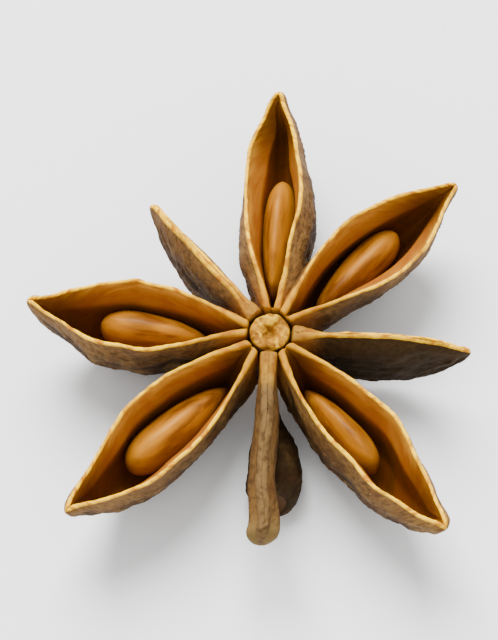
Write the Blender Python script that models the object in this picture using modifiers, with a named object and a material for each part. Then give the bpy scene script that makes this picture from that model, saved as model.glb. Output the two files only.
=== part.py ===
"""Star anise pod: a dried fruit of eight boat-shaped carpels round a central column.

Five carpels have split open along their upper edge and hold one seed each. Three stayed thin and shut. The
fruit body is one solid and each loose seed is another. The pod lies on its keels with the seams up, +Z is
the fruit's own axis, and the origin is under the middle of its box, on the surface it lies on.
Lengths in this file are in millimetres until they are scaled by MM.
"""

from dataclasses import dataclass
from math import cos, pi, radians, sin, sqrt

import bmesh
import bpy
from mathutils import Vector

MM = 0.001

# Overall frame
AXIS_X = 1.36  # where the fruit's axis stands, from the middle of its box
AXIS_Y = -1.40
RIM_HEIGHT = 7.50  # the seams at the column, above the surface the pod lies on

# Section of a carpel
WALL_AT_RIM = 0.34
WALL_AT_FLOOR = 0.50
CAVITY_SHARE = 0.86  # depth of the hollow, as a share of the carpel's depth
BELLY_DEPTH = 0.22  # where the outer wall is widest, as a share of the depth below the rim
LEAST_BULGE = 0.05  # how far the belly stands out past the rim at the least
KEEL_POWER = 1.8  # 2 is a half ellipse, and less is a sharper keel
THINNEST_HOLLOW = 0.35  # of the outer width, where the walls nearly meet
OPENS_BY = 0.15  # share of the length where the hollow has its full depth
SHUTS_FROM = 0.84
HOLLOW_ROUNDNESS = 0.3  # 1 is a V, and less is a fuller hollow
SEAM_GROOVE = 0.10  # how far the shut ends of an open carpel's seam sink in
RIDGE = 0.16  # how far the seam of a shut carpel stands up

# How a carpel changes along its length
CREST = 0.45  # share of the length where it is fullest
BELLY_AT_ROOT = 0.50  # of the belly
BELLY_TAPER = 1.9  # over 1 keeps the fullness longer and makes the end blunter
DEPTH_AT_ROOT = 0.80
DEPTH_TAPER = 2.3
SEAM_HALF_WIDTH = 0.42  # of an open carpel's pressed rims at the column
RIDGE_TAPER = 0.25  # of a shut carpel's ridge, over its length
RIDGE_FROM = 0.2  # share of the length where a shut carpel's broad root has narrowed to the ridge
TIP_LIFT = 0.5  # how far an open carpel's beak turns up
LIFTS_FROM = 0.86
PIVOT_DEPTH = 0.45  # share of the depth at which the roll has its axis
ROLLED_BY = 0.4  # share of the length where the full roll is reached

# Carpels side by side at the column
RIM_START = 1.45  # distance of the seam's inner end from the axis
ROOT_START = 0.90  # how far in a carpel's body reaches, inside the column
ROOT_SCALE = 0.6
ROOT_DROP = -1.2
WEDGE = 0.405  # half width to distance ratio where neighbours press on each other
WEDGE_OVERLAP = 0.12

# Mesh density
STATIONS = 15
EVEN_SPACING = 0.6  # of the stations' spacing, and the rest bunches them at both ends
OUTER_STEPS = 5
INNER_STEPS = 4

# Column and stalk
CORE_RADIUS = 1.36
COLUMN_RADIUS = 2.05
COLUMN_SEGMENTS = 28
COLUMN_PROFILE = [  # radius, and height from the seams, from the dimpled head to the foot
    (0.0, -0.22),
    (0.40, -0.12),
    (0.85, 0.10),
    (1.15, 0.04),
    (1.31, -0.18),
    (CORE_RADIUS, -0.62),
    (COLUMN_RADIUS, -0.70),
    (COLUMN_RADIUS, -4.40),
    (1.45, -5.70),
    (0.0, -6.10),
]
STALK_ROUTE = [  # x, y and height from the foot of the axis, and the radius there
    (0.0, 0.0, 3.2, 0.85),
    (-0.1, -0.9, 2.3, 0.68),
    (-0.2, -2.4, 1.75, 0.60),
    (-0.05, -4.0, 1.60, 0.82),
    (0.2, -5.6, 1.75, 1.50),
    (0.25, -7.4, 1.95, 1.78),
    (0.3, -9.0, 2.00, 1.66),
    (0.3, -10.1, 1.95, 1.15),
]

# Seeds
SEED_SEGMENTS = 16
SEED_RINGS = 10
BLUNT_END = 3.0  # powers of the outline: 2 is an ellipse, more is blunter
POINTED_END = 1.9

GROUND_SIZE = 60
CREASE_ANGLE = 50


@dataclass
class Carpel:
    """One carpel: lengths in mm, angles in degrees from +X round +Z."""

    name: str
    azimuth: float
    length: float  # from the axis to the tip
    gape: float  # half the opening where it is widest, or half the ridge of a shut carpel
    belly: float  # half the width where it is widest
    depth: float  # from the rim down to the keel where it is deepest
    lean: float = 0.0  # roll about its own length, left wall down
    sway: float = 0.0  # sideways bend at the tip, to the left
    rise: float = -0.3  # height of the tip's rim over the seam at the column
    peak: float = 1.1  # over 1 moves the widest opening towards the tip
    taper: float = 1.1  # over 1 narrows the opening's ends
    tip_width: float = 0.12  # at the tip, as shares of the belly and of the depth
    tip_depth: float = 0.13
    split: bool = True


@dataclass
class Seed:
    """One seed standing on edge in a carpel: start and end are distances from the fruit's axis."""

    carpel: str
    start: float
    end: float
    thickness: float
    height: float
    drop: float = 1.6  # its upper edge below the rim


CARPELS = [
    Carpel("back", 84.5, 16.6, 1.65, 2.35, 7.6, lean=-11, sway=0.8, peak=1.3, taper=1.0),
    Carpel("back_right", 46.0, 15.7, 2.15, 2.15, 7.5, lean=7, sway=-1.55, peak=1.14),
    Carpel("right", -5.0, 12.9, 0.05, 0.66, 6.3, lean=-7, rise=-0.5, split=False),
    Carpel(
        "front_right", -49.5, 17.3, 1.78, 2.40, 7.6,
        lean=-2, sway=-0.2, rise=-0.1, peak=1.0, taper=0.92, tip_width=0.2,
    ),
    Carpel("front", -92.5, 13.8, 0.30, 0.80, 4.7, rise=-0.4, tip_width=1.35, tip_depth=0.45, split=False),
    Carpel("front_left", 220.7, 17.7, 2.17, 2.30, 7.6, lean=-1.5, sway=0.7, peak=1.0),
    Carpel("left", 170.5, 15.7, 2.08, 2.10, 7.5, lean=1.5, sway=0.5, rise=-0.2, taper=1.2),
    Carpel("back_left", 131.0, 11.7, 0.12, 0.66, 6.0, lean=6, rise=-0.3, split=False),
]

SEEDS = [
    Seed("back", 3.8, 11.5, 2.1, 3.8),
    Seed("back_right", 4.1, 11.4, 2.2, 3.7),
    Seed("front_right", 4.1, 10.6, 2.2, 3.8),
    Seed("front_left", 4.1, 12.1, 2.6, 3.9),
    Seed("left", 4.1, 11.0, 2.4, 3.7),
]


def clamp(value, low=0.0, high=1.0):
    return max(low, min(high, value))


def smooth(value, start, end):
    """0 before start, 1 after end, and an S-curve between."""
    t = clamp((value - start) / (end - start))
    return t * t * (3 - 2 * t)


def swell(share, first, last, power):
    """Rises from first to 1 at the crest, then goes to last at the tip."""
    if share < CREST:
        return first + (1 - first) * sin(pi / 2 * share / CREST)
    return 1 - (1 - last) * ((share - CREST) / (1 - CREST)) ** power


def distance_at(carpel, share):
    return RIM_START + (carpel.length - RIM_START) * share


def half_gape(carpel, share):
    if not carpel.split:
        root = (SEAM_HALF_WIDTH - carpel.gape) * (1 - smooth(share, 0.0, RIDGE_FROM))
        return carpel.gape * (1 - RIDGE_TAPER * share) + root
    opening = abs(sin(pi * share**carpel.peak)) ** carpel.taper
    return SEAM_HALF_WIDTH * (1 - share) + carpel.gape * opening


def half_width(carpel, share, depth_share):
    """Outer half width at a depth below the rim, 0 at the rim and 1 at the keel."""
    gape = half_gape(carpel, share) + WALL_AT_RIM / 2
    belly = carpel.belly * swell(share, BELLY_AT_ROOT, carpel.tip_width, BELLY_TAPER)
    belly = max(belly, gape + LEAST_BULGE)
    if depth_share < BELLY_DEPTH:
        width = gape + (belly - gape) * sin(pi / 2 * depth_share / BELLY_DEPTH)
    else:
        below = (depth_share - BELLY_DEPTH) / (1 - BELLY_DEPTH)
        width = belly * sqrt(max(0.0, 1 - below**KEEL_POWER))
    return min(width, WEDGE * distance_at(carpel, share) + WEDGE_OVERLAP)


def depth_at(carpel, share):
    return carpel.depth * swell(share, DEPTH_AT_ROOT, carpel.tip_depth, DEPTH_TAPER)


def half_section(carpel, share):
    """Points (across, up) of one side of the wall, from the keel over the rim to the floor of the hollow."""
    depth = depth_at(carpel, share)
    points = []
    for step in range(OUTER_STEPS, -1, -1):
        depth_share = sin(pi / 2 * step / OUTER_STEPS)
        points.append((half_width(carpel, share, depth_share), -depth * depth_share))
    openness = 0.0
    if carpel.split:
        openness = smooth(share, 0.0, OPENS_BY) * (1 - smooth(share, SHUTS_FROM, 1.0))
    cavity = CAVITY_SHARE * depth * openness
    ridge = -SEAM_GROOVE * (1 - openness) if carpel.split else RIDGE
    seam = half_width(carpel, share, 0)
    seam -= min(WALL_AT_RIM, (1 - THINNEST_HOLLOW) * seam)
    for step in range(INNER_STEPS + 1):
        angle = pi / 2 * (1 - step / INNER_STEPS)
        down = cavity * cos(angle)
        wall = WALL_AT_RIM + (WALL_AT_FLOOR - WALL_AT_RIM) * cos(angle)
        outer = half_width(carpel, share, down / depth)
        deep = max(outer - wall, THINNEST_HOLLOW * outer) * sin(angle) ** HOLLOW_ROUNDNESS
        shut = seam * sin(angle)
        points.append((shut + (deep - shut) * openness, ridge * cos(angle) - down))
    points[0] = (0.0, points[0][1])
    points[-1] = (0.0, points[-1][1])
    return points


def to_fruit(carpel, distance, share, across, up):
    """A point of a section, in the fruit's frame with its axis at the origin and the seams at height 0."""
    pivot = -PIVOT_DEPTH * depth_at(carpel, share)
    roll = radians(carpel.lean) * clamp(share / ROLLED_BY)
    turned_across = across * cos(roll) - (up - pivot) * sin(roll) + carpel.sway * share**2
    turned_up = pivot + (up - pivot) * cos(roll) + across * sin(roll) + carpel.rise * share**2
    along = Vector((cos(radians(carpel.azimuth)), sin(radians(carpel.azimuth)), 0))
    left = Vector((-along.y, along.x, 0))
    return along * distance + left * turned_across + Vector((0, 0, turned_up))


def carpel_mesh(carpel):
    """A loft along the carpel, whose section changes from a shut wedge to an open boat and to a beak."""
    steps = [step / (STATIONS - 1) for step in range(STATIONS)]
    shares = [EVEN_SPACING * step + (1 - EVEN_SPACING) * (1 - cos(pi * step)) / 2 for step in steps]
    stations = [(ROOT_START, 0.0)] + [(distance_at(carpel, share), share) for share in shares]
    shape = bmesh.new()
    rings = []
    for distance, share in stations:
        lift = TIP_LIFT * smooth(share, LIFTS_FROM, 1.0) if carpel.split else 0.0
        side = [(across, up + lift) for across, up in half_section(carpel, share)]
        if distance < RIM_START:
            side = [(across * ROOT_SCALE, ROOT_DROP + up * ROOT_SCALE) for across, up in side]
        loop = side + [(-across, up) for across, up in side[-2:0:-1]]
        rings.append([shape.verts.new(to_fruit(carpel, distance, share, *point) * MM) for point in loop])
    count = len(rings[0])
    for first, second in zip(rings, rings[1:]):
        for index in range(count):
            following = (index + 1) % count
            shape.faces.new((first[index], first[following], second[following], second[index]))
    for ring in (rings[0], rings[-1]):
        cap_end(shape, ring)
    bmesh.ops.recalc_face_normals(shape, faces=shape.faces)
    mesh = bpy.data.meshes.new(carpel.name)
    shape.to_mesh(mesh)
    shape.free()
    return mesh


def cap_end(shape, ring):
    """Closes an end with a strip between its left and right halves."""
    count = len(ring)
    for index in range(count // 2):
        corners = [ring[index], ring[index + 1], ring[-index - 1], ring[-index % count]]
        distinct = list(dict.fromkeys(corners))
        if len(distinct) > 2:
            shape.faces.new(distinct)


def column_object():
    """The central column, turned: a domed head with a dimple, a groove round it, and a foot for the stalk."""
    mesh = bpy.data.meshes.new("column")
    points = [(radius * MM, 0, (RIM_HEIGHT + up) * MM) for radius, up in COLUMN_PROFILE]
    mesh.from_pydata(points, [(index, index + 1) for index in range(len(points) - 1)], [])
    column = bpy.data.objects.new("pod", mesh)
    screw = column.modifiers.new("Turn", "SCREW")
    screw.steps = COLUMN_SEGMENTS
    screw.render_steps = COLUMN_SEGMENTS
    screw.use_merge_vertices = True
    screw.merge_threshold = 1e-6
    return column


def stalk_object(collection):
    """The short stalk: from the column's foot it runs forwards under the front carpel to a flared end."""
    curve = bpy.data.curves.new("stalk", "CURVE")
    curve.dimensions = "3D"
    curve.bevel_depth = MM
    curve.bevel_resolution = 3
    curve.use_fill_caps = True
    spline = curve.splines.new("POLY")
    spline.points.add(len(STALK_ROUTE) - 1)
    for point, (x, y, z, radius) in zip(spline.points, STALK_ROUTE):
        point.co = (x * MM, y * MM, z * MM, 1)
        point.radius = radius
    guide = bpy.data.objects.new("stalk_curve", curve)
    collection.objects.link(guide)
    bpy.context.view_layer.update()
    graph = bpy.context.evaluated_depsgraph_get()
    mesh = bpy.data.meshes.new_from_object(guide.evaluated_get(graph))
    bpy.data.objects.remove(guide)
    shape = bmesh.new()
    shape.from_mesh(mesh)
    bmesh.ops.remove_doubles(shape, verts=shape.verts, dist=1e-6)
    bmesh.ops.recalc_face_normals(shape, faces=shape.faces)
    shape.to_mesh(mesh)
    shape.free()
    stalk = bpy.data.objects.new("stalk", mesh)
    collection.objects.link(stalk)
    return stalk


def egg(along):
    """Width of a seed's outline over that of a ball, from its pointed end at -1 to its blunt one at 1."""
    if abs(along) > 0.999:
        return 1.0
    power = BLUNT_END if along > 0 else POINTED_END
    return sqrt((1 - abs(along) ** power) / (1 - along**2))


def seed_object(seed, name, place):
    """A flattened egg with a blunt outer and a pointed inner end, standing on edge along its carpel."""
    carpel = next(carpel for carpel in CARPELS if carpel.name == seed.carpel)
    shape = bmesh.new()
    bmesh.ops.create_uvsphere(shape, u_segments=SEED_SEGMENTS, v_segments=SEED_RINGS, radius=1)
    middle = (seed.start + seed.end) / 2
    share = (middle - RIM_START) / (carpel.length - RIM_START)
    for vertex in shape.verts:
        around, over, along = vertex.co
        distance = middle + along * (seed.end - seed.start) / 2
        across = over * egg(along) * seed.thickness / 2
        up = -seed.drop - seed.height / 2 * (1 + around * egg(along))
        vertex.co = to_fruit(carpel, distance, share, across, up) * MM + place
    bmesh.ops.recalc_face_normals(shape, faces=shape.faces)
    mesh = bpy.data.meshes.new(name)
    shape.to_mesh(mesh)
    shape.free()
    return bpy.data.objects.new(name, mesh)


def material(name, colour, roughness):
    result = bpy.data.materials.new(name)
    result.use_nodes = True
    shader = result.node_tree.nodes["Principled BSDF"]
    shader.inputs["Base Color"].default_value = (*colour, 1)
    shader.inputs["Roughness"].default_value = roughness
    shader.inputs["Metallic"].default_value = 0.0
    return result


def combine(target, helper, operation):
    boolean = target.modifiers.new(operation.title() + " " + helper.name, "BOOLEAN")
    boolean.operation = operation
    boolean.object = helper


def ground_object():
    """A block under the ground, which trims the keels to small flats."""
    shape = bmesh.new()
    bmesh.ops.create_cube(shape, size=GROUND_SIZE * MM)
    mesh = bpy.data.meshes.new("ground")
    shape.to_mesh(mesh)
    shape.free()
    ground = bpy.data.objects.new("ground", mesh)
    ground.location = (0, 0, -GROUND_SIZE / 2 * MM)
    return ground


def pod_object(parts, helpers):
    """The fruit body: the column, with the carpels and the stalk joined on and the keels trimmed."""
    foot = Vector((AXIS_X, AXIS_Y, 0)) * MM
    pod = column_object()
    pod.location = foot
    parts.objects.link(pod)
    for carpel in CARPELS:
        body = bpy.data.objects.new(carpel.name, carpel_mesh(carpel))
        body.location = foot + Vector((0, 0, RIM_HEIGHT)) * MM
        helpers.objects.link(body)
        combine(pod, body, "UNION")
    stalk = stalk_object(helpers)
    stalk.location = foot
    combine(pod, stalk, "UNION")
    ground = ground_object()
    helpers.objects.link(ground)
    combine(pod, ground, "DIFFERENCE")
    pod.data.shade_smooth()
    pod.data.set_sharp_from_angle(angle=radians(CREASE_ANGLE))
    return pod


def main():
    for item in list(bpy.data.objects):
        bpy.data.objects.remove(item)
    parts = bpy.data.collections.new("star_anise_pod")
    helpers = bpy.data.collections.new("helpers")
    helpers.hide_render = True
    bpy.context.scene.collection.children.link(parts)
    bpy.context.scene.collection.children.link(helpers)

    pod = pod_object(parts, helpers)
    pod.data.materials.append(material("husk", (0.20, 0.11, 0.055), 0.75))
    for helper in helpers.objects:
        helper.hide_render = True
        helper.display_type = "WIRE"

    kernel = material("seed", (0.50, 0.24, 0.07), 0.25)
    seams = Vector((AXIS_X, AXIS_Y, RIM_HEIGHT)) * MM
    for number, seed in enumerate(SEEDS, 1):
        item = seed_object(seed, f"seed_{number}", seams)
        parts.objects.link(item)
        item.data.materials.append(kernel)
        item.data.shade_smooth()


main()
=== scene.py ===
"""Looks of the star anise pod: a fine husk, glossy seeds, and the light and camera round them.

The carpels are lofted from nearly the same named sizes as the solids, only finer: thin pale rims, a smooth
golden lining that slopes down to a close pocket round each seed, and a wrinkled dark outside.
Lengths are in millimetres until they are scaled by MM. A share is a part of a carpel's length, from 0 at the
column to 1 at the tip. Across is to the left of a carpel's length, seen from the axis, and up is +Z.
"""

from dataclasses import dataclass
from math import cos, pi, radians, sin

import bmesh
import bpy
import numpy as np
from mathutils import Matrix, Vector


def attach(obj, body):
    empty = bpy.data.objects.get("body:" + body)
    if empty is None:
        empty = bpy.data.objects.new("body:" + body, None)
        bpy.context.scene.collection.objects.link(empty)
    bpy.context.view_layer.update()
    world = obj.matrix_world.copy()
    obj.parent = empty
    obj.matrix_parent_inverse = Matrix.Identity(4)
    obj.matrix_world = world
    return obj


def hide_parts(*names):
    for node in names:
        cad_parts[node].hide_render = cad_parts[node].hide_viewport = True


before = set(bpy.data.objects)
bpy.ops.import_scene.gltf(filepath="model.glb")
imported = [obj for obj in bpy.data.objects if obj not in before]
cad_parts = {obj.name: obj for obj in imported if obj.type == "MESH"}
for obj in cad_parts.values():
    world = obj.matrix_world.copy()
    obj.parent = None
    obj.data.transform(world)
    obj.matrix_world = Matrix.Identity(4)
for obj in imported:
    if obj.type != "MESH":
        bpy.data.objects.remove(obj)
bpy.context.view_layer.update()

MM = 0.001

# Overall frame, as in the solids
AXIS_X = 1.36  # where the fruit's axis stands, from the middle of its box
AXIS_Y = -1.40
RIM_HEIGHT = 7.50  # the seams at the column, above the table

# Section of a carpel
LIP = 0.24  # thickness of the wall at its rim
ROOT_LIP = 0.46  # thickness of the rims where they meet at the column
ROOT_LIP_ENDS = 0.22  # share of the length where the rims have thinned to LIP
WIDEST_LIP = 0.88  # of the half width there
LIP_ROUNDNESS = 0.45  # height of a rim's rounding, as a share of its thickness
LIP_WAVES = 0.2  # how far a rim's thickness varies
LINING = 0.55  # thickness of the wall further down
WALL_WAVES = 0.05  # how far the outer width varies
CAVITY_SHARE = 0.86  # depth of the hollow, as a share of the carpel's depth
BELLY_DEPTH = 0.22  # where the outer wall is widest, as a share of the depth below the rim
LEAST_BULGE = 0.05  # how far the belly stands out past the rim at the least
KEEL_POWER = 1.8  # 2 is a half ellipse, and less is a sharper keel
OPENS_BY = 0.15  # share of the length where the hollow has its full depth
SHUTS_FROM = 0.86
SEAM_GROOVE = 0.08  # how far the shut ends of an open carpel's seam sink in

# Upper edge of a shut carpel
RIDGE = 0.10  # how far it stands up at the least
RIDGE_ARCH = 0.4  # and how much more, as a share of its half width

# How a carpel changes along its length
CREST = 0.45  # share of the length where it is fullest
BELLY_AT_ROOT = 0.50  # of the belly
BELLY_TAPER = 1.9  # over 1 keeps the fullness longer and makes the end blunter
DEPTH_AT_ROOT = 0.80
DEPTH_TAPER = 2.3
SEAM_HALF_WIDTH = 0.42  # of the pressed rims at the column
RIDGE_TAPER = 0.25  # of a shut carpel's ridge, over its length
RIDGE_FROM = 0.2  # share of the length where a shut carpel's broad root has narrowed to the ridge
TIP_LIFT = 0.5  # how far an open carpel's beak turns up
LIFTS_FROM = 0.86
PIVOT_DEPTH = 0.45  # share of the depth at which the roll has its axis
ROLLED_BY = 0.4  # share of the length where the full roll is reached
NOSE = 0.45  # length over which a tip rounds off
BLUNT_NOSE = 0.9  # and where the carpel is widest at its tip
NOSE_POWER = 2.2

# Carpels side by side at the column
RIM_START = 1.40  # distance of the seam's inner end from the axis
ROOT_START = 0.90  # how far in a carpel's body reaches, inside the column
WEDGE = 0.405  # half width to distance ratio where neighbours press on each other
WEDGE_GAP = 0.03  # between neighbours at the rim
WEDGE_OVERLAP = 0.15  # and how much wider they are below it
ROOT_SHOULDER = [  # distance from the axis, size of the section, and how far it sinks
    (ROOT_START, 0.55, -1.6),
    (1.33, 0.80, -0.75),
    (1.40, 0.90, -0.34),
    (1.46, 0.96, -0.12),
    (1.53, 0.99, -0.02),
]
SHOULDER_GAP = 0.03  # from the shoulder to the first full section
ROOT_WORN = 0.45  # how brown the broad roots of the shut carpels are

# Hollow of an open carpel
POCKET_DEPTH = 1.9  # how far the lining slopes down before it turns into the pocket round the seed
POCKET_GAP = 0.16  # between the seed and the pocket's wall
POCKET_LENGTHENS = 0.35  # how far the pocket reaches past its seed at each end
WIDEST_POCKET = 0.94  # of the opening
NARROWEST_FLOOR = 0.1  # of the pocket, where the walls leave it no room
SLOPE_EVENNESS = 0.35  # 1 is a straight slope down to the pocket, and less is hollower

# Seeds, with powers of the outline where 2 is an ellipse and more is blunter
SEED_CREST = 0.25  # where a seed is widest, from -1 at its inner end to 1 at its outer end
BLUNT_END = 2.6
POINTED_END = 1.7
POINTED_SLENDERNESS = 0.62
EDGE_FULLNESS = 0.8  # under 1 keeps a seed's height up towards its ends
SIDE_FLATNESS = 1.15  # over 1 makes its section narrower at the edges
SEED_SWELLING = 0.035  # unevenness, as a share of its size

# Unevenness in mm
FURROWS = 0.34  # these three on the husk's outer side
SCABS = 0.13
GRIT = 0.035
FIBRES = 0.018  # on the lining
CRUMBS = 0.03  # on the rims
CRUMBS_DEPTH = 0.25  # how far down from the rim they reach
CALM_ROOT = 2.2  # distance from the axis within which all of these fade out
BENDS = 0.35  # how far a carpel strays to either side
UPS_AND_DOWNS = 0.18  # of its upper edge
UPS_AND_DOWNS_DEPTH = 1.3  # how far down from the rim they reach
WOBBLE_GAIN = 1.6  # brings the slow noise of the walls and rims up to about 1
LOWEST = 0.01  # clearance of the husk over the table

# Column
COLUMN_PROFILE = [  # radius and height from the seams, from the dimple outwards and down
    (0.0, -0.14), (0.22, -0.12), (0.45, -0.02), (0.70, 0.08), (0.92, 0.12), (1.10, 0.09), (1.22, -0.02),
    (1.29, -0.18), (1.31, -0.60), (1.33, -1.30), (1.60, -1.60), (2.00, -1.90), (2.00, -4.40), (1.45, -5.50),
    (0.0, -5.9),
]
COLUMN_HEAD_ENDS = 9  # the point of the profile at the bottom of the groove
DIMPLE = (-0.1, -0.1)  # its place on the head
DIMPLE_DEPTH = 0.34  # beside lumps of up to 1
DIMPLE_SPREAD = 0.08
LUMP_HEIGHT = 0.34  # in mm, of the lumps and the dimple
OUT_OF_ROUND = 0.07  # as a share of the radius

# Stalk
STALK_ROUTE = [  # x, y and height from the foot of the axis, and the radius there
    (0.0, 0.0, 3.2, 0.85),
    (-0.1, -0.9, 2.3, 0.68),
    (-0.2, -2.4, 1.75, 0.60),
    (-0.05, -4.0, 1.60, 0.80),
    (0.2, -5.6, 1.75, 1.36),
    (0.3, -7.4, 1.95, 1.78),
    (0.3, -8.9, 2.00, 1.70),
    (0.3, -9.8, 1.95, 1.30),
]
STALK_NOSE = 0.35  # length over which the end rounds off
STALK_NOSE_CUT = 0.55  # share of the end's area that the rounding takes
STALK_SLANT = 0.5  # of the torn end, whose upper side is shorter
SLANT_LENGTH = 2.0  # of the stalk, over which the slant comes in
STALK_RIBS = 0.16  # as a share of the radius
STALK_GRIT = 0.05
STALK_SHADE = 0.8  # how far its outside is darkened, from 0 to 1
STALK_LOWEST = 0.02  # clearance over the table
SCAR_DEPTH = 0.45  # of its hollow end

# Colours of the shine
GOLDEN_SHINE = (1.0, 0.8, 0.4, 1)  # of the husk and the column
AMBER_SHINE = (1.0, 0.72, 0.36, 1)  # of the seeds

# Stage, in metres where nothing else is said
FLOOR_HALF = 2.0
KEY_PLACE = (-0.08, 0.34, 0.52)
KEY_SIZE = 0.42
KEY_WATTS = 11.0
SKY_STRENGTH = 1.3
CAMERA_STEEPNESS = 70  # degrees above the table
CAMERA_AWAY = 0.40
CAMERA_LENS = 349.0  # mm
TARGET = (0.03, 0.70, 3.9)  # mm, the place that the camera looks at

# Mesh density
STATIONS = 150  # along a carpel
OUTER_STEPS = 36  # round half a section: up the outside
LIP_STEPS = 6  # over the rim
SLOPE_STEPS = 16  # down the lining
POCKET_STEPS = 14  # and round the pocket's floor
EVEN_SPACING = 0.6  # of the stations' spacing, and the rest bunches them at both ends
SEED_RINGS = 70
SEED_SEGMENTS = 72
HEAD_RINGS = 60  # of the column, down to the bottom of its groove
FOOT_RINGS = 24
COLUMN_SEGMENTS = 120
STALK_RINGS = 110
STALK_SEGMENTS = 90
SCAR_RINGS = 9


@dataclass
class Carpel:
    """One carpel: lengths in mm, angles in degrees from +X round +Z."""

    name: str
    azimuth: float
    length: float  # from the axis to the tip
    gape: float  # half the opening where it is widest, or half the ridge of a shut carpel
    belly: float  # half the width where it is widest
    depth: float  # from the rim down to the keel where it is deepest
    lean: float = 0.0  # roll about its own length, left wall down
    sway: float = 0.0  # sideways bend at the tip, to the left
    rise: float = -0.3  # height of the tip's rim over the seam at the column
    peak: float = 1.1  # over 1 moves the widest opening towards the tip
    taper: float = 1.1  # over 1 narrows the opening's ends
    tip_width: float = 0.12  # at the tip, as shares of the belly and of the depth
    tip_depth: float = 0.13
    split: bool = True  # open, with a hollow
    seed: int = 0  # the number of the seed it holds
    trough: float = 0.74  # half width of the pocket beyond the seed, as a share of the opening
    shade: float = 0.0  # how much darker its outside is coloured, from 0 to 1, partly weathered tone and partly painted shade
    worn: float = 0.0  # how brown its rim or ridge has turned
    apart: float = 0.0  # how much farther than its neighbours its root stands from the column


@dataclass
class Seed:
    """One seed standing on edge in a carpel: start and end are distances from the fruit's axis."""

    start: float
    end: float
    thickness: float
    height: float
    drop: float = 1.6  # its upper edge below the rim
    shift: float = 0.0  # to the left of the hollow's middle


CARPELS = [
    Carpel(
        "back", 84.5, 16.6, 1.65, 2.35, 7.6,
        lean=-11, sway=0.8, peak=1.3, taper=1.0, seed=1, trough=0.56, apart=0.10,
    ),
    Carpel(
        "back_right", 46.0, 15.7, 2.15, 2.15, 7.5,
        lean=7, sway=-1.55, peak=1.14, seed=2, trough=0.66, apart=-0.02,
    ),
    # its outside is darkened nearly to black-brown as painted shade
    Carpel("right", -5.0, 12.9, 0.05, 0.66, 6.3, lean=-7, rise=-0.5, split=False, shade=0.95, apart=0.04),
    Carpel(
        "front_right", -49.5, 17.3, 1.78, 2.40, 7.6,
        lean=-2, sway=-0.2, rise=-0.1, peak=1.0, taper=0.92, tip_width=0.2, seed=3, apart=-0.03,
    ),
    Carpel(
        "front", -92.5, 13.8, 0.30, 0.80, 4.7,
        rise=-0.4, tip_width=1.35, tip_depth=0.45, split=False, shade=0.45, worn=1.0, apart=-0.08,
    ),
    Carpel("front_left", 220.7, 17.7, 2.17, 2.30, 7.6, lean=-1.5, sway=0.7, peak=1.0, seed=4, apart=0.02),
    Carpel("left", 170.5, 15.7, 2.08, 2.10, 7.5, lean=1.5, sway=0.5, rise=-0.2, taper=1.2, seed=5),
    Carpel("back_left", 131.0, 11.7, 0.12, 0.66, 6.0, lean=6, rise=-0.3, split=False),
]

SEEDS = {
    1: Seed(3.4, 11.5, 2.1, 3.8),
    2: Seed(3.8, 11.4, 2.4, 3.7, shift=-0.1),
    3: Seed(3.6, 10.6, 2.2, 3.8, shift=-0.1),
    4: Seed(3.8, 12.1, 2.85, 3.9, shift=0.1),
    5: Seed(3.8, 11.0, 2.5, 3.7, shift=0.1),
}


# ---------------------------------------------------------------- numbers

def smooth(value, start, end):
    """0 before start, 1 after end, and an S-curve between."""
    t = np.clip((value - start) / (end - start), 0, 1)
    return t * t * (3 - 2 * t)


def swell(share, first, last, power):
    """Rises from first to 1 at the crest, then goes to last at the tip."""
    rising = first + (1 - first) * np.sin(pi / 2 * np.clip(share / CREST, 0, 1))
    falling = 1 - (1 - last) * np.clip((share - CREST) / (1 - CREST), 0, 1) ** power
    return np.where(share < CREST, rising, falling)


def lattice(cell, seed):
    """A fixed pseudo-random number from -1 to 1 for each whole-numbered cell."""
    x, y, z = (cell[..., k].astype(np.uint64) for k in range(3))
    value = x * np.uint64(73856093) ^ y * np.uint64(19349663) ^ z * np.uint64(83492791)
    value = value ^ np.uint64(seed * 2654435761 % 2**32)
    value = (value ^ (value >> np.uint64(13))) * np.uint64(1274126177) & np.uint64(0xFFFFFFFF)
    value = (value ^ (value >> np.uint64(16))) * np.uint64(2246822519) & np.uint64(0xFFFFFFFF)
    return (value ^ (value >> np.uint64(15))) / 2.0**31 - 1


def noise(points, seed):
    """Smooth noise from -1 to 1, one bump to a unit."""
    points = points + 1000.0
    base = np.floor(points)
    part = points - base
    part = part * part * part * (part * (part * 6 - 15) + 10)
    total = 0.0
    for corner in np.ndindex(2, 2, 2):
        offset = np.array(corner, float)
        weight = np.where(offset == 1, part, 1 - part).prod(-1)
        total = total + weight * lattice(base + offset, seed)
    return total


def rough(points, seed, octaves):
    """Noise summed over several scales."""
    total, size, most = 0.0, 1.0, 0.0
    for octave in range(octaves):
        total = total + size * noise(points * 2.03**octave + 7.7 * octave, seed + octave)
        most += size
        size *= 0.5
    return total / most


def ridged(points, seed):
    """Noise from 0 to 1 with sharp crests, on three scales."""
    total, size, most = 0.0, 1.0, 0.0
    for octave in range(3):
        total = total + size * (1 - np.abs(noise(points * 2.1**octave + 3.1 * octave, seed + octave)))
        most += size
        size *= 0.5
    return total / most


def points_of(x, y, z):
    return np.stack(np.broadcast_arrays(x, y, z), -1)


def circle(count):
    """Angles once round, as a row."""
    return np.linspace(0, 2 * pi, count, endpoint=False)[None, :]


def wave(distance, pace, row, lane, seed):
    """Slow noise along a carpel, one value to a station. Row and lane keep waves apart."""
    place = np.concatenate([distance * pace, 0 * distance + row, 0 * distance + lane], 1)
    return rough(place, seed, 2)[:, None]


# ---------------------------------------------------------------- carpels

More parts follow.
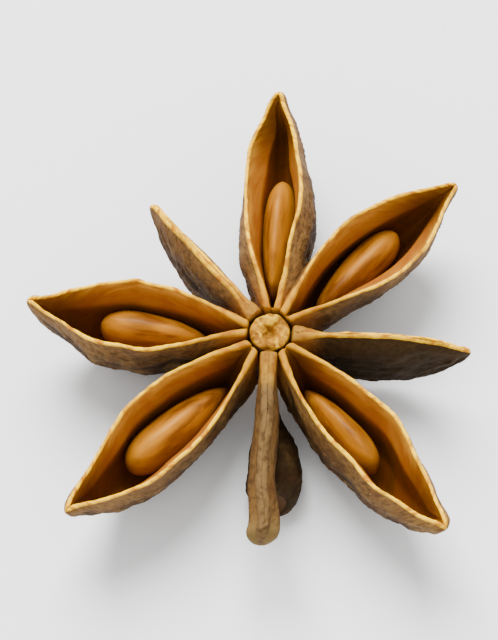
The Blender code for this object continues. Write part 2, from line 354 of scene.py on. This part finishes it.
def half_gape(carpel, share):
    if not carpel.split:
        root = (SEAM_HALF_WIDTH - carpel.gape) * (1 - smooth(share, 0.0, RIDGE_FROM))
        return carpel.gape * (1 - RIDGE_TAPER * share) + root
    opening = np.abs(np.sin(pi * np.clip(share, 0, 1) ** carpel.peak)) ** carpel.taper
    return SEAM_HALF_WIDTH * (1 - share) + carpel.gape * opening


def half_width(carpel, share, distance, depth_share):
    """Outer half width at a depth below the rim, 0 at the rim and 1 at the keel."""
    gape = half_gape(carpel, share) + LIP / 2
    belly = carpel.belly * swell(share, BELLY_AT_ROOT, carpel.tip_width, BELLY_TAPER)
    belly = np.maximum(belly, gape + LEAST_BULGE)
    upper = gape + (belly - gape) * np.sin(pi / 2 * np.clip(depth_share / BELLY_DEPTH, 0, 1))
    below = np.clip((depth_share - BELLY_DEPTH) / (1 - BELLY_DEPTH), 0, 1)
    lower = belly * np.sqrt(np.clip(1 - below**KEEL_POWER, 0, 1))
    width = np.where(depth_share < BELLY_DEPTH, upper, lower)
    beside = WEDGE * distance - WEDGE_GAP + WEDGE_OVERLAP * smooth(depth_share, 0.05, 0.3)
    return np.minimum(width, beside)


def depth_at(carpel, share):
    return carpel.depth * swell(share, DEPTH_AT_ROOT, carpel.tip_depth, DEPTH_TAPER)


def drop_shape(along):
    """Fullness of a seed from its pointed end at -1, over its fullest place, to its blunt end at 1."""
    offset = along - SEED_CREST
    blunt = np.clip(offset / (1 - SEED_CREST), 0, 1) ** BLUNT_END
    pointed = np.clip(-offset / (1 + SEED_CREST), 0, 1) ** POINTED_END
    return np.sqrt(1 - blunt) * (1 - pointed) ** POINTED_SLENDERNESS


def pocket_half(carpel, distance):
    """Half width that a seed asks of its pocket at a distance from the axis, 0 beyond its ends."""
    if not carpel.seed:
        return np.zeros_like(distance)
    seed = SEEDS[carpel.seed]
    along = (distance - (seed.start + seed.end) / 2) / ((seed.end - seed.start) / 2 + POCKET_LENGTHENS)
    return seed.thickness / 2 * drop_shape(np.clip(along, -1, 1))


def soft_maximum(a, b, blend=0.25):
    """The larger of two values, rounded where they cross."""
    return (a + b + np.sqrt((a - b) ** 2 + blend**2)) / 2 - blend / 2


def rim_section(carpel, share, top, wobble):
    """Over the rim, or up the ridge of a shut carpel, and how far across and up it ends."""
    turn = pi * np.arange(1, LIP_STEPS)[None, :] / LIP_STEPS
    if carpel.split:
        lip = LIP + (ROOT_LIP - LIP) * (1 - smooth(share, 0.0, ROOT_LIP_ENDS))
        lip = np.minimum(lip * (1 + LIP_WAVES * wobble), WIDEST_LIP * top)
        seam, crest = top - lip, 0 * lip
        rim = (top - lip / 2 + lip / 2 * np.cos(turn), LIP_ROUNDNESS * lip * np.sin(turn))
    else:
        seam, crest = 0 * top, RIDGE + RIDGE_ARCH * top
        rim = (top * np.cos(turn / 2), crest * np.sin(turn / 2))
    return (*rim, turn / pi, 0 * turn * top), seam, crest


def hollow_sections(carpel, share, distance, stretch, openness, seam, crest):
    """Down the lining to the pocket round the seed, and round the pocket's floor."""
    depth = depth_at(carpel, share)
    floor = CAVITY_SHARE * depth * openness
    rest = np.minimum(POCKET_DEPTH, 0.5 * floor)
    pocket = soft_maximum(pocket_half(carpel, distance) + POCKET_GAP, carpel.trough * seam)
    pocket = np.minimum(pocket, WIDEST_POCKET * seam)
    part = np.arange(0, SLOPE_STEPS + 1)[None, :] / SLOPE_STEPS
    slope = seam + (pocket - seam) * (SLOPE_EVENNESS * part + (1 - SLOPE_EVENNESS) * part**2.0)

    turn = pi / 2 * np.arange(1, POCKET_STEPS + 1)[None, :] / POCKET_STEPS
    deep = rest + (floor - rest) * np.sin(turn)
    wall = half_width(carpel, share, distance, deep / depth) * stretch - LINING
    under = np.minimum(pocket, np.maximum(wall, NARROWEST_FLOOR * pocket)) * np.cos(turn) ** 0.5
    return [
        (slope, crest - rest * part, 1 + 0 * slope, rest * part + 0 * slope),
        (under, crest - deep, 1 + 0 * under, deep),
    ]


def half_section(carpel, share, distance, side, wobble):
    """One side of the section at every station, from the keel over the rim to the hollow's floor.

    Gives across, up, how far a point belongs to the lining, and its distance from the rim.
    """
    depth = depth_at(carpel, share)
    openness = np.zeros_like(share)
    if carpel.split:
        openness = smooth(share, 0.0, OPENS_BY) * (1 - smooth(share, SHUTS_FROM, 1.0))
    stretch = 1 + WALL_WAVES * wobble

    down = np.sin(pi / 2 * np.arange(OUTER_STEPS, -1, -1) / OUTER_STEPS)[None, :]
    outer = half_width(carpel, share, distance, down) * stretch
    top = half_width(carpel, share, distance, 0 * share) * stretch
    rim, seam, crest = rim_section(carpel, share, top, wobble)
    hollow = hollow_sections(carpel, share, distance, stretch, openness, seam, crest)
    sections = [(outer, -depth * down, 0 * outer, depth * down), rim, *hollow]

    across, up, lining, reach = (
        np.concatenate([np.broadcast_to(section[k], section[0].shape) for section in sections], 1)
        for k in range(4)
    )
    if carpel.split:
        up = up - SEAM_GROOVE * (1 - openness) * (lining > 0.99)
    return across * side, up, lining, reach


def to_fruit(carpel, distance, share, across, up):
    """A point of a section, in the frame of the fruit's axis, with the seams at height 0."""
    pivot = -PIVOT_DEPTH * depth_at(carpel, share)
    roll = radians(carpel.lean) * np.clip(share / ROLLED_BY, 0, 1)
    turned = across * np.cos(roll) - (up - pivot) * np.sin(roll) + carpel.sway * share**2
    height = pivot + (up - pivot) * np.cos(roll) + across * np.sin(roll) + carpel.rise * share**2
    azimuth = radians(carpel.azimuth)
    x = distance * cos(azimuth) - turned * sin(azimuth)
    y = distance * sin(azimuth) + turned * cos(azimuth)
    return points_of(x, y, height)


def grid_normals(grid):
    """Outward normals of a grid whose second axis is closed."""
    along = np.gradient(grid, axis=0)
    around = np.roll(grid, -1, 1) - np.roll(grid, 1, 1)
    normal = np.cross(along, around)
    normal /= np.maximum(np.linalg.norm(normal, axis=-1, keepdims=True), 1e-9)
    at_keel = normal[:, :1] * (grid - grid.mean(1, keepdims=True))[:, :1]
    return normal * np.sign(at_keel.sum())


def grid_mesh(name, grid, attributes):
    """A closed tube of quads through the grid, whose first and last rings close to a point."""
    stations, count = grid.shape[:2]
    ends = [grid[0].mean(0), grid[-1].mean(0)]
    points = np.concatenate([grid.reshape(-1, 3), ends])
    ring = np.arange(count)
    after = (ring + 1) % count
    faces = []
    for station in range(stations - 1):
        low, high = station * count, (station + 1) * count
        faces += np.stack([low + ring, low + after, high + after, high + ring], 1).tolist()
    first, last = stations * count, stations * count + 1
    faces += np.stack([after, ring, first + 0 * ring], 1).tolist()
    edge = (stations - 1) * count
    faces += np.stack([edge + ring, edge + after, last + 0 * ring], 1).tolist()
    mesh = bpy.data.meshes.new(name)
    mesh.from_pydata((points * MM).tolist(), [], faces)
    for key, values in attributes.items():
        values = np.asarray(values, float)
        if values.ndim == 3:
            flat = np.concatenate([values.reshape(-1, 3), [values[0].mean(0), values[-1].mean(0)]])
            mesh.attributes.new(key, "FLOAT_VECTOR", "POINT").data.foreach_set("vector", flat.ravel())
        else:
            flat = np.concatenate([values.ravel(), [values[0].mean(), values[-1].mean()]])
            mesh.attributes.new(key, "FLOAT", "POINT").data.foreach_set("value", flat)
    mesh.validate()
    mesh.shade_smooth()
    return mesh


def ring_of(left, right):
    """Left and right halves of every station made one closed ring."""
    return np.concatenate([left, right[:, -2:0:-1]], 1)


def stations_of(carpel):
    """Share of the length, distance from the axis, size and sinking of the section at every station."""
    steps = np.linspace(0, 1, STATIONS)[:, None]
    share = EVEN_SPACING * steps + (1 - EVEN_SPACING) * (1 - np.cos(pi * steps)) / 2
    distance = RIM_START + (carpel.length - RIM_START) * share
    root = np.array(ROOT_SHOULDER) + [carpel.apart, 0, 0]
    kept = distance[:, 0] > ROOT_SHOULDER[-1][0] + carpel.apart + SHOULDER_GAP
    share = np.concatenate([np.zeros((len(root), 1)), share[kept]])
    distance = np.concatenate([root[:, :1], distance[kept]])
    scale = np.concatenate([root[:, 1:2], np.ones((kept.sum(), 1))])
    drop = np.concatenate([root[:, 2:3], np.zeros((kept.sum(), 1))])
    return share, distance, scale, drop


def rounded_nose(carpel, distance):
    """1 along the carpel, and falls to 0 at its tip in a rounded end."""
    nose = BLUNT_NOSE if carpel.tip_width > 1 else NOSE
    past = np.clip((distance - (carpel.length - nose)) / nose, 0, 1)
    return np.sqrt(np.clip(1 - past**NOSE_POWER, 0, 1))


def husk_relief(carpel, grain, lining, reach):
    """Height of the wrinkles outside and of the fibres inside."""
    outside = (1 - np.clip(lining, 0, 1)) * smooth(reach, 0.25, 1.8) * (1 - 0.5 * carpel.worn)
    furrows = ridged(grain * [0.30, 0.95, 1], 11) - 0.6
    scabs = rough(grain * [0.9, 1.3, 1], 21, 4)
    grit = rough(grain * [4.0, 5.0, 1], 31, 2)
    fibres = rough(grain * [3.2, 0.5, 1], 51, 3)
    relief = outside * (FURROWS * furrows + SCABS * scabs + GRIT * grit)
    return relief + np.clip(lining, 0, 1) * (FIBRES * fibres)


def strays(carpel, number, share, distance, side, reach):
    """How far a carpel strays to the side, its upper edge goes up and down, and its beak turns up."""
    bend = wave(distance, pace=0.22, row=0, lane=number * 5.3, seed=60) * BENDS
    bend = bend * smooth(share, 0.1, 0.5) * (1 - smooth(share, 0.9, 1.0))
    left, right = (wave(distance, pace=0.8, row=row, lane=number * 2.9, seed=70) for row in (4.0, -4.0))
    lift = np.where(side > 0, left, right) * UPS_AND_DOWNS * np.exp(-reach / UPS_AND_DOWNS_DEPTH)
    lift = lift * smooth(share, 0.03, 0.2)
    beak = TIP_LIFT * smooth(share, LIFTS_FROM, 1.0) * carpel.split
    return bend, lift, beak


def husk_grain(number, distance, side, across, up):
    """Distance from the axis, and the way round the section from the keel, negative on the right."""
    section = np.stack([across, up], -1)
    run = np.linalg.norm(np.diff(section, axis=1, prepend=section[:, :1]), axis=-1).cumsum(1)
    half = (side > 0).sum()
    total = run[:, half - 1 : half]
    arc = np.where(side > 0, run, 2 * total - run) * side
    return np.stack([distance + 0 * arc, arc, 0 * arc + number * 13.7], -1)


def carpel_piece(carpel, number, husk):
    share, distance, scale, drop = stations_of(carpel)
    halves = []
    for side in (1, -1):
        wobble = wave(distance, pace=0.45, row=side * 3.3, lane=number * 9.1, seed=40) * WOBBLE_GAIN
        halves.append(half_section(carpel, share, distance, side, wobble))
    across, up, lining, reach = (ring_of(left, right) for left, right in zip(*halves))
    side = np.ones(across.shape[1])
    side[halves[0][0].shape[1] :] = -1

    close = rounded_nose(carpel, distance)
    middle = -0.5 * depth_at(carpel, share)
    across = across * scale * close
    up = middle + (up * scale - middle) * close + drop
    bend, lift, beak = strays(carpel, number, share, distance, side, reach)
    grid = to_fruit(carpel, distance, share, across + bend, up + lift + beak)

    grain = husk_grain(number, distance, side, across, up)
    relief = husk_relief(carpel, grain, lining, reach)
    rim = np.exp(-reach / CRUMBS_DEPTH) * (CRUMBS * rough(grain * [3.0, 3.0, 1], 81, 2))
    fade = close * np.clip(distance / CALM_ROOT, 0, 1)
    grid = grid + grid_normals(grid) * ((relief + rim) * fade)[..., None]
    grid = grid + [AXIS_X, AXIS_Y, RIM_HEIGHT]
    grid[..., 2] = np.maximum(grid[..., 2], LOWEST)

    worn = carpel.worn * smooth(distance, 1.9, 4.2)
    if not carpel.split:
        lining = 0 * lining
        worn = worn + ROOT_WORN * (1 - smooth(distance, 1.9, 3.6))
    name = "carpel_" + carpel.name
    mesh = grid_mesh(name, grid, {
        "grain": grain, "lining": lining, "reach": reach, "along": share + 0 * lining,
        "shade": carpel.shade + 0 * lining, "worn": worn + 0 * lining, "relief": relief,
    })
    add_piece(name, mesh, husk, "pod")


def outward(mesh):
    """Turns every face of a closed mesh outwards."""
    shape = bmesh.new()
    shape.from_mesh(mesh)
    bmesh.ops.remove_doubles(shape, verts=shape.verts, dist=1e-7)
    bmesh.ops.recalc_face_normals(shape, faces=shape.faces)
    shape.to_mesh(mesh)
    shape.free()
    mesh.shade_smooth()


def add_piece(name, mesh, material, node):
    outward(mesh)
    piece = bpy.data.objects.new(name, mesh)
    bpy.context.scene.collection.objects.link(piece)
    mesh.materials.append(material)
    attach(piece, "root")
    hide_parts(node)


# ---------------------------------------------------------------- seeds, column, stalk

def seed_piece(carpel, kernel):
    number = carpel.seed
    seed = SEEDS[number]
    length = seed.end - seed.start
    centre = (seed.start + seed.end) / 2
    along = -np.cos(np.linspace(0.0, pi, SEED_RINGS)[1:-1, None])
    turn = circle(SEED_SEGMENTS)
    body = drop_shape(along)
    width = seed.thickness / 2 * body * np.sign(np.cos(turn)) * np.abs(np.cos(turn)) ** SIDE_FLATNESS
    height = seed.height / 2 * body**EDGE_FULLNESS * np.sin(turn)
    place = points_of(along * 2.2, width * 1.1, height * 0.8 + number * 7)
    swelling = 1 + SEED_SWELLING * rough(place, 90, 2)
    share = (centre - RIM_START) / (carpel.length - RIM_START)
    grid = to_fruit(
        carpel, centre + along * length / 2 + 0 * turn, share + 0 * along,
        seed.shift + width * swelling, -seed.drop - seed.height / 2 + height * swelling,
    )
    grid = grid + [AXIS_X, AXIS_Y, RIM_HEIGHT]
    grain = points_of(along * length / 2, width, height + number * 11)
    name = f"seed_{number}_kernel"
    mesh = grid_mesh(name, grid, {"grain": grain, "along": along + 0 * turn})
    add_piece(name, mesh, kernel, f"seed_{number}")


def column_piece(core):
    """The column's domed head, lumpy and dimpled, in its groove, and its foot."""
    radius, height = np.array(COLUMN_PROFILE).T
    run = np.concatenate([[0], np.hypot(np.diff(radius), np.diff(height)).cumsum()])
    head_run = run[COLUMN_HEAD_ENDS]
    head = np.linspace(0, head_run, HEAD_RINGS)
    foot = np.linspace(head_run, run[-1], FOOT_RINGS)
    fine = np.concatenate([head, foot[1:]])[1:-1]
    turn = circle(COLUMN_SEGMENTS)
    r = np.interp(fine, run, radius)[:, None]
    z = np.interp(fine, run, height)[:, None]
    x, y = r * np.cos(turn), r * np.sin(turn)
    grain = points_of(x * 1.5, y * 1.5, z * 0.6)
    from_dimple = np.hypot(x - DIMPLE[0], y - DIMPLE[1])
    lumps = rough(grain, 104, 3) - DIMPLE_DEPTH * np.exp(-(from_dimple**2) / DIMPLE_SPREAD)
    z = z + (1 - smooth(r, 1.15, 1.32)) * LUMP_HEIGHT * lumps
    r = r * (1 + OUT_OF_ROUND * noise(points_of(np.cos(turn) * 2.6, np.sin(turn) * 2.6, 0 * turn), 5))
    grid = points_of(r * np.cos(turn), r * np.sin(turn), z) + [AXIS_X, AXIS_Y, RIM_HEIGHT]
    mesh = grid_mesh("column", grid, {"grain": grain, "along": r, "relief": lumps})
    add_piece("column", mesh, core, "pod")


def smooth_curve(x, known, values):
    """A smooth curve through a few values."""
    slopes = np.gradient(values, known)
    index = np.clip(np.searchsorted(known, x, side="right") - 1, 0, len(known) - 2)
    step = known[index + 1] - known[index]
    t = (x - known[index]) / step
    return (
        values[index] * (1 + 2 * t) * (1 - t) ** 2
        + slopes[index] * step * t * (1 - t) ** 2
        + values[index + 1] * t * t * (3 - 2 * t)
        + slopes[index + 1] * step * t * t * (t - 1)
    )


def stalk_path():
    """At every ring of the stalk: length so far, middle, radius, direction and two directions across."""
    route = np.array(STALK_ROUTE)
    run = np.concatenate([[0], np.linalg.norm(np.diff(route[:, :3], axis=0), axis=1).cumsum()])
    fine = np.linspace(0, run[-1], STALK_RINGS)[:, None]
    path = np.concatenate([smooth_curve(fine, run, route[:, k]) for k in range(3)], 1)
    end = np.clip((fine - (run[-1] - STALK_NOSE)) / STALK_NOSE, 0, 1)
    radius = smooth_curve(fine, run, route[:, 3]) * np.sqrt(1 - STALK_NOSE_CUT * end**NOSE_POWER)
    tangent = np.gradient(path, axis=0)
    tangent /= np.linalg.norm(tangent, axis=1, keepdims=True)
    first = np.cross(tangent, [1.0, 0, 0])
    first /= np.linalg.norm(first, axis=1, keepdims=True)
    return fine, path, radius, tangent, first, np.cross(tangent, first)


def stalk_piece(husk):
    """The short stalk under the front carpel, wrinkled along its length, with a torn hollow end."""
    fine, path, radius, tangent, first, second = stalk_path()
    turn = circle(STALK_SEGMENTS)
    ring = points_of(fine * 0.5, 2.2 * np.cos(turn), 2.2 * np.sin(turn) + 50)
    relief = STALK_RIBS * (ridged(ring, 111) - 0.6) + STALK_GRIT * rough(ring * 3, 121, 3)
    r = (radius * (1 + relief))[..., None]
    across = first[:, None] * np.cos(turn)[..., None] + second[:, None] * np.sin(turn)[..., None]
    grid = path[:, None] + across * r
    length = fine[-1, 0]
    slant = STALK_SLANT * smooth(fine, length - SLANT_LENGTH, length) * (grid[..., 2] - path[:, None, 2])
    grid = grid - tangent[:, None] * slant[..., None]
    grain = points_of(fine, turn * 1.3, 0 * turn + 77.0)

    # Hollow end: rings that shrink and sink in from the last one
    scar = 1 - np.linspace(0, 1, SCAR_RINGS)[1:-1, None, None]
    middle = grid[-1].mean(0)
    hollow = middle + (grid[-1] - middle) * scar - tangent[-1] * SCAR_DEPTH * np.sqrt(1 - scar)
    grid = np.concatenate([grid, hollow]) + [AXIS_X, AXIS_Y, 0]
    grid[..., 2] = np.maximum(grid[..., 2], STALK_LOWEST)
    grain = np.concatenate([grain, np.broadcast_to(grain[-1], hollow.shape) * [1, 0.5, 1]])
    relief = np.concatenate([relief, 0 * hollow[..., 0]])
    bare = np.concatenate([0 * r[..., 0], 1 + 0 * hollow[..., 0]])
    mesh = grid_mesh("stalk", grid, {
        "grain": grain, "lining": bare, "reach": 0 * bare + 3.0, "along": 0.9 * bare,
        "shade": 0 * bare + STALK_SHADE, "worn": 0 * bare, "relief": relief,
    })
    add_piece("stalk", mesh, husk, "pod")


# ---------------------------------------------------------------- materials

class Shader:
    """A material's node tree, built step by step."""

    def __init__(self, name):
        self.material = bpy.data.materials.new(name)
        self.material.use_nodes = True
        self.nodes = self.material.node_tree.nodes
        self.links = self.material.node_tree.links
        self.sockets = self.nodes["Principled BSDF"].inputs

    def put(self, socket, value):
        """Links a socket to another one, or gives it a plain value."""
        if isinstance(value, bpy.types.NodeSocket):
            self.links.new(value, socket)
        else:
            socket.default_value = value

    def attribute(self, name, kind="Fac"):
        node = self.nodes.new("ShaderNodeAttribute")
        node.attribute_name = name
        return node.outputs[kind]

    def first_of(self, vector):
        """The first number of a vector."""
        node = self.nodes.new("ShaderNodeSeparateXYZ")
        self.put(node.inputs[0], vector)
        return node.outputs[0]

    def stretch(self, vector, scale):
        node = self.nodes.new("ShaderNodeVectorMath")
        node.operation = "MULTIPLY"
        self.put(node.inputs[0], vector)
        node.inputs[1].default_value = scale
        return node.outputs[0]

    def noise(self, vector, scale, detail, gain=0.5, distort=0.0):
        node = self.nodes.new("ShaderNodeTexNoise")
        self.put(node.inputs["Vector"], vector)
        node.inputs["Scale"].default_value = scale
        node.inputs["Detail"].default_value = detail
        node.inputs["Roughness"].default_value = gain
        node.inputs["Distortion"].default_value = distort
        return node.outputs["Fac"]

    def product(self, a, b):
        node = self.nodes.new("ShaderNodeMath")
        node.operation = "MULTIPLY"
        self.put(node.inputs[0], a)
        self.put(node.inputs[1], b)
        return node.outputs[0]

    def between(self, value, low, high, start=0.0, end=1.0):
        """start where value is at low, end where it is at high, and an S-curve between."""
        node = self.nodes.new("ShaderNodeMapRange")
        node.interpolation_type = "SMOOTHSTEP"
        self.put(node.inputs["Value"], value)
        node.inputs["From Min"].default_value = low
        node.inputs["From Max"].default_value = high
        node.inputs["To Min"].default_value = start
        node.inputs["To Max"].default_value = end
        return node.outputs["Result"]

    def mix(self, share, first, second):
        node = self.nodes.new("ShaderNodeMix")
        node.data_type = "RGBA"
        self.put(node.inputs[0], share)
        self.put(node.inputs[6], first)
        self.put(node.inputs[7], second)
        return node.outputs[2]

    def lay(self, colour, over, value, low, high, most=1.0):
        """Lays over on colour: none of it where value is at low, and the share most where it is at high."""
        return self.mix(self.between(value, low, high, 0.0, most), colour, over)

    def finish(self, colour, roughness, specular, tint):
        self.put(self.sockets["Base Color"], colour)
        self.put(self.sockets["Roughness"], roughness)
        self.sockets["Specular IOR Level"].default_value = specular
        self.sockets["Specular Tint"].default_value = tint

    def bump(self, height, distance, strength):
        """Fine relief, with its height in mm."""
        node = self.nodes.new("ShaderNodeBump")
        node.inputs["Strength"].default_value = strength
        node.inputs["Distance"].default_value = distance * MM
        self.put(node.inputs["Height"], height)
        self.put(self.sockets["Normal"], node.outputs["Normal"])


def tone(red, green, blue):
    """A colour given as 0-255 sRGB, as the linear values that a shader takes."""
    parts = [((c / 255 + 0.055) / 1.055) ** 2.4 if c > 10 else c / 3294.6 for c in (red, green, blue)]
    return (*parts, 1.0)


def outside_colour(shader, grain, reach, relief, distance, blush):
    """Weathered outside: pale near the rim and darker further down, partly its own dark brown and partly
    painted shade, mottled, with painted shade in its furrows and lighter crests, and tan at the column.
    """
    # pale near the rim and dark brown further down: partly the husk's own tone, partly painted shade on the
    # lower wall
    colour = shader.lay(tone(122, 86, 44), tone(62, 40, 21), reach, 0.2, 3.4)
    blotches = shader.noise(shader.stretch(grain, (0.7, 0.9, 0.9)), 1.0, 5, 0.62, 0.4)
    colour = shader.lay(colour, tone(136, 104, 58), blotches, 0.50, 0.66, 0.6)
    colour = shader.lay(colour, tone(84, 48, 24), blush, 0.48, 0.66, 0.5)
    # painted shade in the furrows, and lighter crests that are partly pale scabs and partly painted light
    colour = shader.lay(colour, tone(38, 24, 12), relief, 0.02, -0.12, 0.75)
    colour = shader.lay(colour, tone(138, 104, 58), relief, 0.06, 0.16, 0.35)
    grit = shader.noise(shader.stretch(grain, (2.2, 3.0, 3.0)), 1.2, 5, 0.6)
    colour = shader.lay(colour, tone(40, 25, 12), grit, 0.42, 0.66, 0.6)
    flecks = shader.noise(grain, 3.4, 3, 0.6)
    colour = shader.lay(colour, tone(166, 128, 72), flecks, 0.64, 0.74, 0.5)
    return shader.lay(colour, tone(144, 90, 34), distance, 3.9, 2.2, 0.8)


def lining_colour(shader, grain, reach, along, blush):
    """Smooth lining: golden near the rim, browner further down and towards both ends, partly its own tone
    and partly painted shade in the deep hollow and its narrow ends.
    """
    # golden near the rim and browner deeper in the hollow: partly the lining's own tone, partly painted
    # shade
    colour = shader.lay(tone(214, 154, 50), tone(166, 104, 32), reach, 0.1, 1.3)
    colour = shader.lay(colour, tone(114, 68, 16), reach, 1.0, 2.8)
    colour = shader.lay(colour, tone(146, 74, 22), blush, 0.42, 0.60, 0.5)
    fibres = shader.noise(shader.stretch(grain, (0.45, 3.8, 3.0)), 1.0, 4, 0.6)
    colour = shader.lay(colour, tone(132, 76, 14), fibres, 0.42, 0.64, 0.45)
    # darker towards the tip and the column as painted shade where the hollow narrows; on the stalk this
    # gives its torn end's dark brown
    colour = shader.lay(colour, tone(92, 53, 18), along, 0.60, 0.95, 0.75)
    return shader.lay(colour, tone(80, 44, 16), along, 0.20, 0.03, 0.8)


def rim_colour(shader, grain, distance, blush, worn):
    """Thin rim: pale gold, brown at the column, and dull where it is worn."""
    crumbs = shader.noise(shader.stretch(grain, (1.4, 1.8, 1.6)), 1.1, 4, 0.55)
    colour = shader.lay(tone(184, 112, 8), tone(254, 198, 10), crumbs, 0.32, 0.58)
    colour = shader.lay(colour, tone(150, 92, 24), distance, 7.5, 1.6, 0.8)
    colour = shader.lay(colour, tone(140, 86, 22), blush, 0.50, 0.66, 0.6)
    dull = shader.lay(tone(70, 49, 28), tone(102, 77, 45), crumbs, 0.34, 0.60)
    return shader.mix(worn, colour, dull)


def husk_material():
    shader = Shader("husk")
    grain = shader.attribute("grain", "Vector")
    lining = shader.attribute("lining")
    reach = shader.attribute("reach")
    along = shader.attribute("along")
    worn = shader.attribute("worn")
    distance = shader.first_of(grain)
    blush = shader.noise(shader.stretch(grain, (0.5, 0.6, 0.6)), 1.3, 3)

    outside = outside_colour(shader, grain, reach, shader.attribute("relief"), distance, blush)
    inside = lining_colour(shader, grain, reach, along, blush)
    colour = shader.mix(shader.between(lining, 0.90, 1.0), outside, inside)
    worn_tip = shader.product(worn, shader.between(along, 0.84, 0.98, 0.0, 0.65))
    colour = shader.mix(worn_tip, colour, tone(140, 116, 66))
    # darkens the outside past the tan root by each piece's shade: painted shade on the right carpel, a
    # darker tone on the front carpel and the stalk
    shade_and_weathering = shader.product(shader.attribute("shade"), shader.between(distance, 2.2, 3.9, 0.0, 0.88))
    colour = shader.mix(shade_and_weathering, colour, tone(27, 17, 9))
    colour = shader.lay(colour, rim_colour(shader, grain, distance, blush, worn), reach, 0.08, 0.0)
    # painted shade on the carpels' root ends down beside the column, where they sink into its groove
    colour = shader.lay(colour, tone(58, 34, 18), distance, 1.50, 1.34, 0.9)
    shader.finish(colour, shader.between(lining, 0.5, 1.0, 0.74, 0.42), 0.17, GOLDEN_SHINE)

    pits = shader.noise(shader.stretch(grain, (3.0, 4.0, 4.0)), 2.2, 4, 0.6)
    smoother_inside = shader.between(lining, 0.0, 0.4, 1.0, 0.2)
    smoother_rim = shader.between(reach, 0.1, 0.9, 0.3, 1.0)
    shader.bump(shader.product(pits, shader.product(smoother_inside, smoother_rim)), 0.10, 0.7)
    return shader.material


def core_material():
    """The column: golden, lighter on its lumps as painted light, brown in its dimple and dark down in the
    groove as painted shade.
    """
    shader = Shader("core")
    grain = shader.attribute("grain", "Vector")
    relief = shader.attribute("relief")
    patches = shader.noise(grain, 1.1, 4, 0.6, 0.3)
    colour = shader.lay(tone(122, 74, 14), tone(168, 116, 20), patches, 0.40, 0.60)
    crumbs = shader.noise(grain, 2.4, 4)
    colour = shader.lay(colour, tone(190, 140, 40), crumbs, 0.50, 0.68, 0.35)
    # painted shade in the dimple and the low places, painted light on the high lumps
    colour = shader.lay(colour, tone(96, 58, 18), relief, 0.0, -0.45, 0.6)
    colour = shader.lay(colour, tone(216, 166, 30), relief, 0.10, 0.40, 0.7)
    # painted shade down in the groove
    colour = shader.lay(colour, tone(50, 30, 18), shader.attribute("along"), 1.22, 1.33)
    shader.finish(colour, 0.55, 0.17, GOLDEN_SHINE)
    shader.bump(crumbs, 0.08, 0.8)
    return shader.material


def kernel_material():
    """A seed: caramel with soft golden streaks, partly its own striping and partly painted highlights,
    lighter at its blunt end as partly painted light, and darker at its point as painted shade.
    """
    shader = Shader("kernel")
    grain = shader.attribute("grain", "Vector")
    along = shader.attribute("along")
    clouds = shader.noise(shader.stretch(grain, (0.30, 1.4, 1.4)), 1.0, 4, 0.55)
    colour = shader.lay(tone(102, 54, 6), tone(148, 91, 12), clouds, 0.36, 0.62)
    # lighter towards the blunt end, partly the seed's own tone and partly painted light
    colour = shader.lay(colour, tone(182, 120, 22), along, 0.2, 1.0, 0.5)
    # golden streaks, partly the seed's own striping and partly painted highlights
    streaks = shader.noise(shader.stretch(grain, (0.18, 1.3, 1.3)), 1.0, 2, 0.4, 0.2)
    colour = shader.lay(colour, tone(180, 118, 8), streaks, 0.46, 0.70, 0.5)
    # painted shade at the pointed end, deep in the pocket by the column
    colour = shader.lay(colour, tone(88, 50, 24), along, -0.70, -0.98)
    shader.finish(colour, 0.50, 0.32, AMBER_SHINE)
    shader.sockets["Coat Weight"].default_value = 0.03
    shader.sockets["Coat Roughness"].default_value = 0.25
    waves = shader.noise(shader.stretch(grain, (0.35, 1.5, 1.5)), 1.0, 3)
    shader.bump(waves, 0.05, 0.4)
    return shader.material


def floor_material():
    shader = Shader("floor")
    shader.finish((0.93, 0.93, 0.93, 1), 0.9, 0.1, (1, 1, 1, 1))
    return shader.material


# ---------------------------------------------------------------- the stage

def floor_piece():
    mesh = bpy.data.meshes.new("floor")
    corners = [(-1, -1), (1, -1), (1, 1), (-1, 1)]
    mesh.from_pydata([(x * FLOOR_HALF, y * FLOOR_HALF, 0) for x, y in corners], [], [(0, 1, 2, 3)])
    floor = bpy.data.objects.new("floor", mesh)
    bpy.context.scene.collection.objects.link(floor)
    mesh.materials.append(floor_material())


def look_at(thing, place, target):
    thing.location = place
    thing.rotation_mode = "QUATERNION"
    thing.rotation_quaternion = (Vector(target) - Vector(place)).to_track_quat("-Z", "Y")


def key_light():
    """A large soft light from behind the pod, to the left."""
    light = bpy.data.lights.new("key", "AREA")
    light.shape = "DISK"
    light.size = KEY_SIZE
    light.energy = KEY_WATTS
    lamp = bpy.data.objects.new("key", light)
    bpy.context.scene.collection.objects.link(lamp)
    look_at(lamp, KEY_PLACE, (0, 0, 0))


def sky():
    world = bpy.data.worlds.new("studio")
    world.use_nodes = True
    background = world.node_tree.nodes["Background"]
    background.inputs["Color"].default_value = (1, 1, 1, 1)
    background.inputs["Strength"].default_value = SKY_STRENGTH
    bpy.context.scene.world = world


def camera_view():
    camera = bpy.data.cameras.new("camera")
    camera.lens = CAMERA_LENS
    camera.sensor_width = 36.0
    camera.clip_start = 0.01
    view = bpy.data.objects.new("camera", camera)
    bpy.context.scene.collection.objects.link(view)
    bpy.context.scene.camera = view
    target = Vector(TARGET) * MM
    steep = radians(CAMERA_STEEPNESS)
    look_at(view, target + Vector((0, -cos(steep), sin(steep))) * CAMERA_AWAY, target)


def main():
    husk = husk_material()
    for number, carpel in enumerate(CARPELS, 1):
        carpel_piece(carpel, number, husk)
    stalk_piece(husk)
    column_piece(core_material())
    kernel = kernel_material()
    for carpel in CARPELS:
        if carpel.seed:
            seed_piece(carpel, kernel)
    floor_piece()
    sky()
    key_light()
    camera_view()


main()
